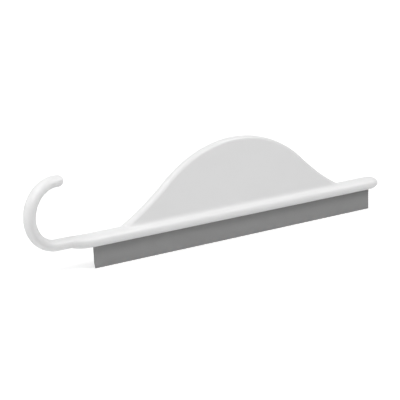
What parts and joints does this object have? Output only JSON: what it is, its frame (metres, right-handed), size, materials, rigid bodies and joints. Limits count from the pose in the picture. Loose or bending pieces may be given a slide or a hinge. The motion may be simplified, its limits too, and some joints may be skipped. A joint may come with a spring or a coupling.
{
  "type": "window cleaning squeegee",
  "caption": "Hand squeegee with a hump-shaped grip on a straight oval spine, a rubber wiping strip held in a keyhole groove below it, and a hanging hook at one end.",
  "frame": {"origin": "below the middle of the overall length, in the plane of symmetry, at the height of the wiping edge", "axes": "+X along the blade, away from the hook; +Z from the wiping edge up to the grip; +Y across, with the strip's flat face on the -Y side"},
  "size_m": [0.3116, 0.013, 0.0679],
  "materials": {
    "body_plastic": "satin white moulded polypropylene",
    "blade_rubber": "matte mid-grey thermoplastic rubber"
  },
  "bodies": {
    "body": {"squeegee_body": "body_plastic"},
    "blade": {"rubber_blade": "blade_rubber"}
  },
  "joints": [
    {"name": "blade_flex", "type": "hinge", "parent": "body", "child": "blade", "pos_m": [0.02247, 0, 0.01745], "axis": [1, 0, 0], "range_deg": [-15, 15], "stiffness_Nm_per_rad": 0.3}
  ]
}
